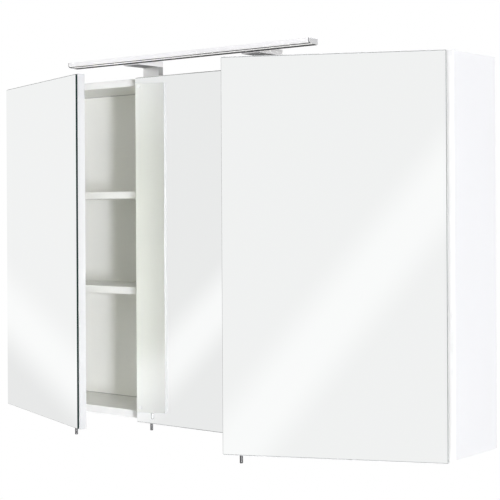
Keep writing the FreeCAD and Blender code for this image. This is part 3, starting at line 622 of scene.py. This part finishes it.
def dress(name, piece):
    """Gives a frame node the finish of the longest matching start of its name."""
    best = max((start for start in FINISHES if name.startswith(start)), key=len)
    piece.data.materials.clear()
    piece.data.materials.append(FINISHES[best])


for node_name, node_piece in NODES.items():
    dress(node_name, node_piece)


# Mirror glass

GLASS_INSET = 1.4 * MM
GLASS_HINGE_INSET = 0.6 * MM
GLASS_HINGE_SIDE = {"left": -1, "middle": 1, "right": 1}
GLASS_CORNER_R = 1.2 * MM
GLASS_CORNER_STEPS = 5
GLASS_LEAST_R = 0.1 * MM
GLASS_BEVEL = 0.6 * MM
GLASS_ARRIS = 0.3 * MM
POLISHED_LEFT = ("left", "right")


def upright_axes(name):
    """Lengthwise and outward directions of an upright sheet, by the spread of its corners from above."""
    spots = np.unique(np.round(vertices_of(name)[:, :2], 6), axis=0)
    spread = spots - spots.mean(axis=0)
    axes = np.linalg.svd(spread)[2]
    along = axes[0] * np.sign(axes[0][0])
    outward = axes[1] * -np.sign(axes[1][1])
    return along, outward


def sheet_place(name, along, outward):
    """Middle and half size of an upright sheet: along its length, through its thickness and in height."""
    points = vertices_of(name)
    reach = points[:, :2] @ along
    depth = points[:, :2] @ outward
    low = np.array([reach.min(), depth.min(), points[:, 2].min()])
    high = np.array([reach.max(), depth.max(), points[:, 2].max()])
    return (low + high) / 2, (high - low) / 2


def stacked_outlines(half_a, half_b, layers):
    """Round-cornered outlines stacked through the glass: each is drawn in by its inset at its depth."""
    rings = []
    for inset, depth in layers:
        radius = max(GLASS_CORNER_R - inset, GLASS_LEAST_R)
        ring = rounded_outline(half_a - inset, half_b - inset, radius, GLASS_CORNER_STEPS)
        rings.append(np.column_stack([ring[:, 0], np.full(len(ring), depth), ring[:, 1]]))
    return np.concatenate(rings)


def mirror_sheet(side):
    """Glass just inside the rim of its board: outlines stacked from the arrised back to the bevelled front.

    The front is silvered and the edge ground; the left bevel is polished on the doors in POLISHED_LEFT.
    """
    node = "mirror_" + side
    along, outward = upright_axes(node)
    middle, half = sheet_place(node, along, outward)
    spare = (GLASS_INSET - GLASS_HINGE_INSET) / 2
    middle = middle + np.array([GLASS_HINGE_SIDE[side] * spare, 0.0, 0.0])
    half = half - np.array([GLASS_INSET - spare, 0.0, GLASS_INSET])
    layers = [
        (GLASS_ARRIS, -half[1]),
        (0.0, -half[1] + GLASS_ARRIS),
        (0.0, half[1] - GLASS_BEVEL),
        (GLASS_BEVEL, half[1]),
    ]
    flat = stacked_outlines(half[0], half[2], layers)
    placed = flat + middle
    points = np.column_stack([placed[:, :1] * along + placed[:, 1:2] * outward, placed[:, 2]])
    around = 4 * GLASS_CORNER_STEPS
    walls = grid_quads(len(layers), around, close_cols=True)
    back = np.arange(around)
    front = np.arange(around)[::-1] + (len(layers) - 1) * around
    faces = [list(quad) for quad in walls] + [list(back), list(front)]
    centre = flat[walls].mean(axis=1)
    bevel = np.arange(len(walls)) >= (len(layers) - 2) * around
    at_left = -centre[:, 0] - half[0] > np.abs(centre[:, 2]) - half[2]
    polished = bevel & at_left & (side in POLISHED_LEFT)
    slots = list(np.where(polished, 0, 1)) + [2, 0]
    materials = [SILVER, GLASS_EDGE, GLASS_BACK]
    piece = make_piece("mirror_glass_" + side, points, faces, "door_" + side, materials, slots)
    piece.data.validate()
    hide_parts(node)


for door_side in ("left", "middle", "right"):
    mirror_sheet(door_side)


# Lamp bar

LAMP_ROUND_R = 5.0 * MM
LAMP_ROUND_STEPS = 25
# Faces of the round lower front that carry the line of painted shade
LAMP_PAINTED_SHADE_FIRST = 13
LAMP_PAINTED_SHADE_LAST = 22
LAMP_EDGE_R = 1.0 * MM
LAMP_EDGE_STEPS = 6
LAMP_LIP_D = 5.5 * MM
LAMP_LIP_DROP = 1.5 * MM
LAMP_CHANNEL_H = 7.6 * MM
LAMP_SEAM_START = -0.6 * MM
LAMP_SEAM_W = 1.6 * MM
LAMP_SEAM_DEPTH = 2.0 * MM
CAP_HEEL_R = 2.5 * MM
CAP_HEEL_STEPS = 12
CAP_EDGE_R = 0.6 * MM
COVER_GAP = 0.4 * MM
COVER_CROWN = 0.8 * MM
COVER_T = 1.8 * MM
COVER_COLS = 15


def arc(centre, radius, start, end, steps):
    """Arc in depth and height: centre plus radius times (cos t, sin t), t from start to end in degrees."""
    turn = np.radians(np.linspace(start, end, steps))
    return np.asarray(centre) + radius * np.column_stack([np.cos(turn), np.sin(turn)])


def lamp_shoulders(front, rear, low, high):
    """Upper part of the lamp's outline: arcs from the rear edge over the top to the round lower front."""
    small, wide = LAMP_EDGE_R, LAMP_ROUND_R
    return np.concatenate([
        arc((rear - small, high - small), small, 0.0, 90.0, LAMP_EDGE_STEPS),
        arc((front + small, high - small), small, 90.0, 180.0, LAMP_EDGE_STEPS),
        arc((front + wide, low + wide), wide, 180.0, 270.0, LAMP_ROUND_STEPS),
    ])


def carried_outline(outline, stations):
    """Closed bar along X: each ring is the middle plus the outline's offset times (1 - inset / half)."""
    middle = (outline.min(axis=0) + outline.max(axis=0)) / 2
    half = (outline.max(axis=0) - outline.min(axis=0)) / 2
    count = len(outline)
    rings = []
    for x, inset in stations:
        ring = middle + (outline - middle) * (1.0 - inset / half)
        rings.append(np.column_stack([np.full(count, x), ring]))
    walls = grid_quads(len(stations), count, close_cols=True)
    near = np.arange(count)[::-1]
    far = np.arange(count) + (len(stations) - 1) * count
    return np.concatenate(rings), [list(quad) for quad in walls] + [list(near), list(far)]


def lamp_housing(front, rear, low, high, reach):
    """Housing: its outline carried from end to end, with a channel open below.

    The round lower front has a line of painted shade, the rear lip, dark with painted shade, hangs lower,
    and the end walls are dark with painted shade.
    """
    shoulders = lamp_shoulders(front, rear, low, high)
    channel_front, channel_rear = front + LAMP_ROUND_R, rear - LAMP_LIP_D
    roof, foot = low + LAMP_CHANNEL_H, low - LAMP_LIP_DROP
    channel = np.array([[channel_front, roof], [channel_rear, roof]])
    lip_centre = (rear - LAMP_EDGE_R, foot + LAMP_EDGE_R)
    lip = np.concatenate([
        [[channel_rear, foot]],
        arc(lip_centre, LAMP_EDGE_R, 270.0, 360.0, LAMP_EDGE_STEPS),
    ])
    outline = np.concatenate([shoulders, channel, lip])
    points, faces = carried_outline(outline, [(-reach, 0.0), (reach, 0.0)])
    slots = np.zeros(len(faces), dtype=int)
    round_start = len(shoulders) - LAMP_ROUND_STEPS
    # Painted shade: a dark line on the round lower front, the rear lip and the end walls inside the cap
    # seams
    slots[round_start + LAMP_PAINTED_SHADE_FIRST:round_start + LAMP_PAINTED_SHADE_LAST] = 1
    slots[len(shoulders) + len(channel) - 1:len(outline) - 1] = 1
    slots[-2:] = 1
    piece = make_piece("lamp_bar_housing", points, faces, "carcass", [LAMP_METAL_PAINTED_GLOW, BLACK_PLASTIC_AND_PAINTED_SHADE], slots)
    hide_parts("lamp_housing")


def lamp_caps(front, rear, low, high, seam, reach):
    """End caps: the lamp's outline with a soft outer edge, on a neck dark with painted shade that leaves a
    narrow seam.
    """
    shoulders = lamp_shoulders(front, rear, low, high)
    foot = low - LAMP_LIP_DROP
    heel = arc((rear - CAP_HEEL_R, foot + CAP_HEEL_R), CAP_HEEL_R, 270.0, 360.0, CAP_HEEL_STEPS)
    outline = np.concatenate([shoulders, heel])
    inner = seam + LAMP_SEAM_W
    halfway = CAP_EDGE_R * (1.0 - math.sqrt(0.5))
    stations = [
        (seam, LAMP_SEAM_DEPTH),
        (inner, LAMP_SEAM_DEPTH),
        (inner, 0.0),
        (reach - CAP_EDGE_R, 0.0),
        (reach - halfway, halfway),
        (reach, CAP_EDGE_R),
    ]
    mirrored = [(-x, inset) for x, inset in stations[::-1]]
    right, right_faces = carried_outline(outline, stations)
    left, left_faces = carried_outline(outline, mirrored)
    around = len(outline)
    slots = np.zeros(len(right_faces), dtype=int)
    # Painted shade on the neck and inner wall inside each seam
    slots[:2 * around] = 1
    left_slots = np.zeros(len(left_faces), dtype=int)
    left_slots[(len(stations) - 3) * around:(len(stations) - 1) * around] = 1
    points = np.concatenate([right, left])
    faces = right_faces + [[index + len(right) for index in face] for face in left_faces]
    both_slots = np.concatenate([slots, left_slots])
    piece = make_piece("lamp_end_caps", points, faces, "carcass", [CAP_METAL_PAINTED_GLOW, BLACK_PLASTIC_AND_PAINTED_SHADE], both_slots)
    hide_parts("lamp_caps")


def lamp_cover(front, rear, low, reach):
    """Opal cover in the channel: flat inside, and below it hangs by crown times (1 - u squared) across."""
    across = np.linspace(-1.0, 1.0, COVER_COLS)
    start, end = front + LAMP_ROUND_R + COVER_GAP, rear - LAMP_LIP_D - COVER_GAP
    depth = (start + end) / 2 + across * (end - start) / 2
    below = np.column_stack([depth, low + COVER_CROWN * across ** 2])
    above = np.array([[end, low + COVER_T], [start, low + COVER_T]])
    points, faces = carried_outline(np.concatenate([below, above]), [(-reach, 0.0), (reach, 0.0)])
    piece = make_piece("lamp_opal_cover", points, faces, "carcass", [OPAL])
    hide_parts("lamp_diffuser")


def lamp_bar():
    """Housing, end caps and opal cover, placed by the frame's own lamp pieces."""
    (body_low, body_high), (_, cap_high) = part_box("lamp_housing"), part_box("lamp_caps")
    front, low = body_low[1], body_low[2]
    rear, high = body_high[1], body_high[2]
    seam = body_high[0] + LAMP_SEAM_START
    lamp_housing(front, rear, low, high, seam)
    lamp_caps(front, rear, low, high, seam, cap_high[0])
    lamp_cover(front, rear, low, seam)


lamp_bar()


# Camera

PHOTO_PX = 500.0
FOCAL_PX = 1298.41
CENTRE_PX = (248.22, 207.25)
SENSOR_MM = 36.0
CLIP_NEAR = 0.05
CLIP_FAR = 200.0
CAMERA_AT = (1.78854, -2.22957, -0.20178)
CAMERA_YAW = math.radians(38.85)
CAMERA_PITCH = math.radians(0.01)
CAMERA_ROLL = math.radians(-0.30)


def place_camera():
    """Camera of the photograph: level view from the right, frame shifted down instead of tilted."""
    data = bpy.data.cameras.new("photo_camera")
    camera = bpy.data.objects.new("photo_camera", data)
    bpy.context.scene.collection.objects.link(camera)
    data.sensor_fit = "HORIZONTAL"
    data.sensor_width = SENSOR_MM
    data.lens = FOCAL_PX * SENSOR_MM / PHOTO_PX
    data.shift_x = (PHOTO_PX / 2 - CENTRE_PX[0]) / PHOTO_PX
    data.shift_y = (CENTRE_PX[1] - PHOTO_PX / 2) / PHOTO_PX
    data.clip_start = CLIP_NEAR
    data.clip_end = CLIP_FAR
    level = math.cos(CAMERA_PITCH)
    sideways, forwards = -math.sin(CAMERA_YAW) * level, math.cos(CAMERA_YAW) * level
    ahead = Vector((sideways, forwards, math.sin(CAMERA_PITCH)))
    right = Vector((math.cos(CAMERA_YAW), math.sin(CAMERA_YAW), 0.0))
    down = ahead.cross(right)
    turned_right = right * math.cos(CAMERA_ROLL) - down * math.sin(CAMERA_ROLL)
    turned_down = right * math.sin(CAMERA_ROLL) + down * math.cos(CAMERA_ROLL)
    axes = Matrix((turned_right, -turned_down, -ahead)).transposed()
    camera.matrix_world = Matrix.Translation(CAMERA_AT) @ axes.to_4x4()
    bpy.context.scene.camera = camera


place_camera()


# Studio

# Soft streak that a mirror sees: tilt and centre of its line, half widths of the bright core and the fading
# edge, brightness before, after and in the streak, and the bearings between which it shows
Streak = namedtuple("Streak", "tilt centre core edge before after peak first last")
LEFT_STREAK = Streak(tilt=42.56, centre=-69.58, core=0.11, edge=1.74,
                     before=0.804, after=0.884, peak=0.955, first=-110.0, last=-70.0)
MIDDLE_STREAK = Streak(tilt=137.57, centre=25.18, core=0.16, edge=1.57,
                       before=0.822, after=0.823, peak=0.949, first=-60.0, last=-30.0)
RIGHT_STREAK = Streak(tilt=141.39, centre=-15.28, core=0.32, edge=2.16,
                      before=0.880, after=0.880, peak=0.956, first=-5.0, last=40.0)
MIRROR_SHARE = 1.04
STREAK_FADE = 8.0

# Pale room as reflections see it: level in front and behind, shares of ceiling and ground, and their fades
ROOM_LEVEL = 0.93
REAR_LEVEL = 0.62
REAR_FADE = (105.0, 140.0)
CEILING_SHARE = 0.90
CEILING_FADE = (45.0, 75.0)
GROUND_SHARE = 0.72
GROUND_FADE = (-60.0, -28.0)

# Tall narrow soft light to the right of the front, as reflections see it
SOFTBOX_BEARING = 60.0
SOFTBOX_HALF_WIDTH = 4.5
SOFTBOX_HALF_HEIGHT = 62.0
SOFTBOX_FADE = 1.5
SOFTBOX_LEVEL = 16.0
SOFTBOX_END_LEVEL = 19.0
SOFTBOX_END_FADE = (20.0, 45.0)

# Soft light on matt surfaces: low in front, more from the left, from behind and from the right front
AMBIENT_FRONT = 0.12
AMBIENT_LEFT = 0.60
AMBIENT_SIDE = 0.20
AMBIENT_BEHIND = 0.90
AMBIENT_RIGHT = 1.00
LEFT_FADE = (-70.0, -50.0)
SIDE_FADE = (90.0, 110.0)
BEHIND_FADE = (145.0, 160.0)
RIGHT_BEARING = 45.0
RIGHT_HALF_WIDTH = 14.0
RIGHT_FADE = 6.0

# Cool white of the lamps and of the soft light
LAMP_TINT = (0.985, 0.988, 1.11)
SOFT_TINT = (0.985, 0.99, 1.06)


def streak_level(wiring, bearing, height, level, streak):
    """One streak laid over the level: by distance from a tilted line, between two bearings."""
    slope = math.radians(streak.tilt)
    flatwise = wiring.math("MULTIPLY", bearing, math.cos(slope))
    across = wiring.math("MULTIPLY_ADD", height, math.sin(slope), flatwise)
    offset = wiring.math("SUBTRACT", across, streak.centre)
    before, after, peak = (share * MIRROR_SHARE for share in (streak.before, streak.after, streak.peak))
    base = wiring.stepped(offset, -streak.edge, streak.edge, before, after)
    inside = wiring.stepped(wiring.math("ABSOLUTE", offset), streak.core, streak.edge, 1.0, 0.0)
    tone = wiring.toward(inside, base, peak)
    opened = wiring.stepped(bearing, streak.first - STREAK_FADE, streak.first)
    closed = wiring.stepped(bearing, streak.last, streak.last + STREAK_FADE, 1.0, 0.0)
    return wiring.toward(wiring.math("MULTIPLY", opened, closed), level, tone)


def reflected_level(wiring, bearing, height):
    """Brightness that reflections see: room with streaks, ceiling and ground, and the softbox on it."""
    behind = wiring.stepped(wiring.math("ABSOLUTE", bearing), *REAR_FADE)
    level = wiring.scaled(behind, ROOM_LEVEL, REAR_LEVEL)
    for streak in (LEFT_STREAK, MIDDLE_STREAK, RIGHT_STREAK):
        level = streak_level(wiring, bearing, height, level, streak)
    ceiling = wiring.stepped(height, *CEILING_FADE, 1.0, CEILING_SHARE)
    ground = wiring.stepped(height, *GROUND_FADE, GROUND_SHARE, 1.0)
    level = wiring.math("MULTIPLY", level, wiring.math("MULTIPLY", ceiling, ground))
    sideways = wiring.math("ABSOLUTE", wiring.math("SUBTRACT", bearing, SOFTBOX_BEARING))
    wide = wiring.stepped(sideways, SOFTBOX_HALF_WIDTH, SOFTBOX_HALF_WIDTH + SOFTBOX_FADE, 1.0, 0.0)
    steep = wiring.math("ABSOLUTE", height)
    tall = wiring.stepped(steep, SOFTBOX_HALF_HEIGHT, SOFTBOX_HALF_HEIGHT + SOFTBOX_FADE, 1.0, 0.0)
    softbox = wiring.stepped(steep, *SOFTBOX_END_FADE, SOFTBOX_LEVEL, SOFTBOX_END_LEVEL)
    return wiring.toward(wiring.math("MULTIPLY", wide, tall), level, softbox)


def soft_level(wiring, bearing):
    """Brightness that matt surfaces get by bearing: left, front, right side, behind and right front."""
    soft = wiring.stepped(bearing, *LEFT_FADE, AMBIENT_LEFT, AMBIENT_FRONT)
    soft = wiring.toward(wiring.stepped(bearing, *SIDE_FADE), soft, AMBIENT_SIDE)
    behind = wiring.stepped(wiring.math("ABSOLUTE", bearing), *BEHIND_FADE)
    soft = wiring.toward(behind, soft, AMBIENT_BEHIND)
    turned = wiring.math("ABSOLUTE", wiring.math("SUBTRACT", bearing, RIGHT_BEARING))
    right = wiring.stepped(turned, RIGHT_HALF_WIDTH, RIGHT_HALF_WIDTH + RIGHT_FADE, 1.0, 0.0)
    return wiring.toward(right, soft, AMBIENT_RIGHT)


def light_world():
    """White for the camera, streaked pale grey for reflections, plain soft light for the rest."""
    world = bpy.data.worlds.new("studio")
    bpy.context.scene.world = world
    world.use_nodes = True
    wiring = Wiring(world.node_tree)
    world.node_tree.nodes.clear()
    away = wiring.split(wiring.add("ShaderNodeTexCoord").outputs["Generated"])
    forward = wiring.math("MULTIPLY", away["Y"], -1.0)
    bearing = wiring.math("DEGREES", wiring.math("ARCTAN2", away["X"], forward))
    height = wiring.math("DEGREES", wiring.math("ARCSINE", away["Z"]))
    path = wiring.add("ShaderNodeLightPath").outputs
    mirrored = wiring.math("MAXIMUM", path["Is Glossy Ray"], path["Is Transmission Ray"])
    soft = soft_level(wiring, bearing)
    strength = wiring.toward(mirrored, soft, reflected_level(wiring, bearing, height))
    strength = wiring.toward(path["Is Camera Ray"], strength, 1.0)
    plain = wiring.math("MAXIMUM", path["Is Camera Ray"], mirrored)
    background = wiring.add("ShaderNodeBackground")
    wiring.feed(background.inputs["Color"], wiring.blend(plain, rgb(*SOFT_TINT), rgb(1.0, 1.0, 1.0)))
    wiring.feed(background.inputs["Strength"], strength)
    output = wiring.add("ShaderNodeOutputWorld")
    wiring.feed(output.inputs["Surface"], background.outputs[0])


light_world()


def soft_lamp(name, bearing, height, distance, target, size, watts):
    """Rectangular soft lamp aimed at the target from a bearing, a height and a distance."""
    data = bpy.data.lights.new(name, "AREA")
    data.shape = "RECTANGLE"
    data.size, data.size_y = size
    data.energy = watts
    data.color = LAMP_TINT
    lamp = bpy.data.objects.new(name, data)
    bpy.context.scene.collection.objects.link(lamp)
    turn, lift = math.radians(bearing), math.radians(height)
    away = Vector((math.sin(turn) * math.cos(lift), -math.cos(turn) * math.cos(lift), math.sin(lift)))
    lamp.location = Vector(target) + away * distance
    lamp.rotation_mode = "QUATERNION"
    lamp.rotation_quaternion = away.to_track_quat("Z", "Y")
    lamp.visible_camera = False


KEY_TARGET = (-0.25, -0.10, -0.30)
soft_lamp("key_lamp", bearing=54.8, height=-2.0, distance=8.0,
          target=KEY_TARGET, size=(0.54, 1.8), watts=358.0)
soft_lamp("key_spread_lamp", bearing=58.0, height=-2.0, distance=8.0,
          target=KEY_TARGET, size=(0.90, 1.8), watts=85.0)
soft_lamp("top_lamp", bearing=10.0, height=70.0, distance=3.5,
          target=(0.0, -0.15, -0.30), size=(3.0, 2.0), watts=16.0)
soft_lamp("high_rear_lamp", bearing=180.0, height=30.0, distance=2.0,
          target=(-0.40, -0.30, 0.05), size=(1.0, 1.6), watts=16.0)
soft_lamp("low_rear_lamp", bearing=180.0, height=-90.0, distance=1.2,
          target=(-0.40, 0.96, -0.43), size=(1.0, 0.5), watts=17.0)

FLOOR_Z = -1.85
FLOOR_HALF = 40.0
FLOOR_POINTS = 9
FLOOR_LIT_R = 1.2
FLOOR_WHITE_R = 3.2
FLOOR_NEAR_WHITE = 0.72


def floor_finish():
    """Pale matt floor: takes shadows near the object, white further out, clear to reflections."""
    material = bpy.data.materials.new("pale_floor")
    material.use_nodes = True
    wiring = Wiring(material.node_tree)
    material.node_tree.nodes.clear()
    place = wiring.add("ShaderNodeTexCoord").outputs["Object"]
    flat = wiring.add("ShaderNodeVectorMath", operation="MULTIPLY")
    wiring.feed(flat.inputs[0], place)
    flat.inputs[1].default_value = (1.0, 1.0, 0.0)
    reach = wiring.add("ShaderNodeVectorMath", operation="LENGTH")
    wiring.feed(reach.inputs[0], flat.outputs[0])
    far = wiring.stepped(reach.outputs["Value"], FLOOR_LIT_R, FLOOR_WHITE_R, FLOOR_NEAR_WHITE, 1.0)
    path = wiring.add("ShaderNodeLightPath").outputs
    below = wiring.add("ShaderNodeNewGeometry").outputs["Backfacing"]
    matt = wiring.add("ShaderNodeBsdfDiffuse")
    matt.inputs["Color"].default_value = rgb(0.74, 0.74, 0.74)
    glow = wiring.add("ShaderNodeEmission")
    glow.inputs["Color"].default_value = rgb(1.0, 1.0, 1.0)
    clear = wiring.add("ShaderNodeBsdfTransparent")
    white = wiring.math("MULTIPLY", path["Is Camera Ray"], far)
    lit = wiring.mixed(white, matt.outputs[0], glow.outputs[0])
    through = wiring.math("MAXIMUM", path["Is Glossy Ray"], path["Is Transmission Ray"])
    whole = wiring.mixed(wiring.math("MAXIMUM", through, below), lit, clear.outputs[0])
    output = wiring.add("ShaderNodeOutputMaterial")
    wiring.feed(output.inputs["Surface"], whole)
    return material


def lay_floor():
    """Level floor under the object: a square grid of points at one height."""
    line = np.linspace(-FLOOR_HALF, FLOOR_HALF, FLOOR_POINTS)
    x, y = np.meshgrid(line, line)
    points = np.column_stack([x.ravel(), y.ravel(), np.full(x.size, FLOOR_Z)])
    mesh = bpy.data.meshes.new("studio_floor")
    mesh.from_pydata(points.tolist(), [], grid_quads(FLOOR_POINTS, FLOOR_POINTS).tolist())
    mesh.update()
    mesh.materials.append(floor_finish())
    floor = bpy.data.objects.new("studio_floor", mesh)
    bpy.context.scene.collection.objects.link(floor)


lay_floor()
bpy.context.scene.view_settings.view_transform = "Standard"
bpy.context.scene.cycles.blur_glossy = 0.0
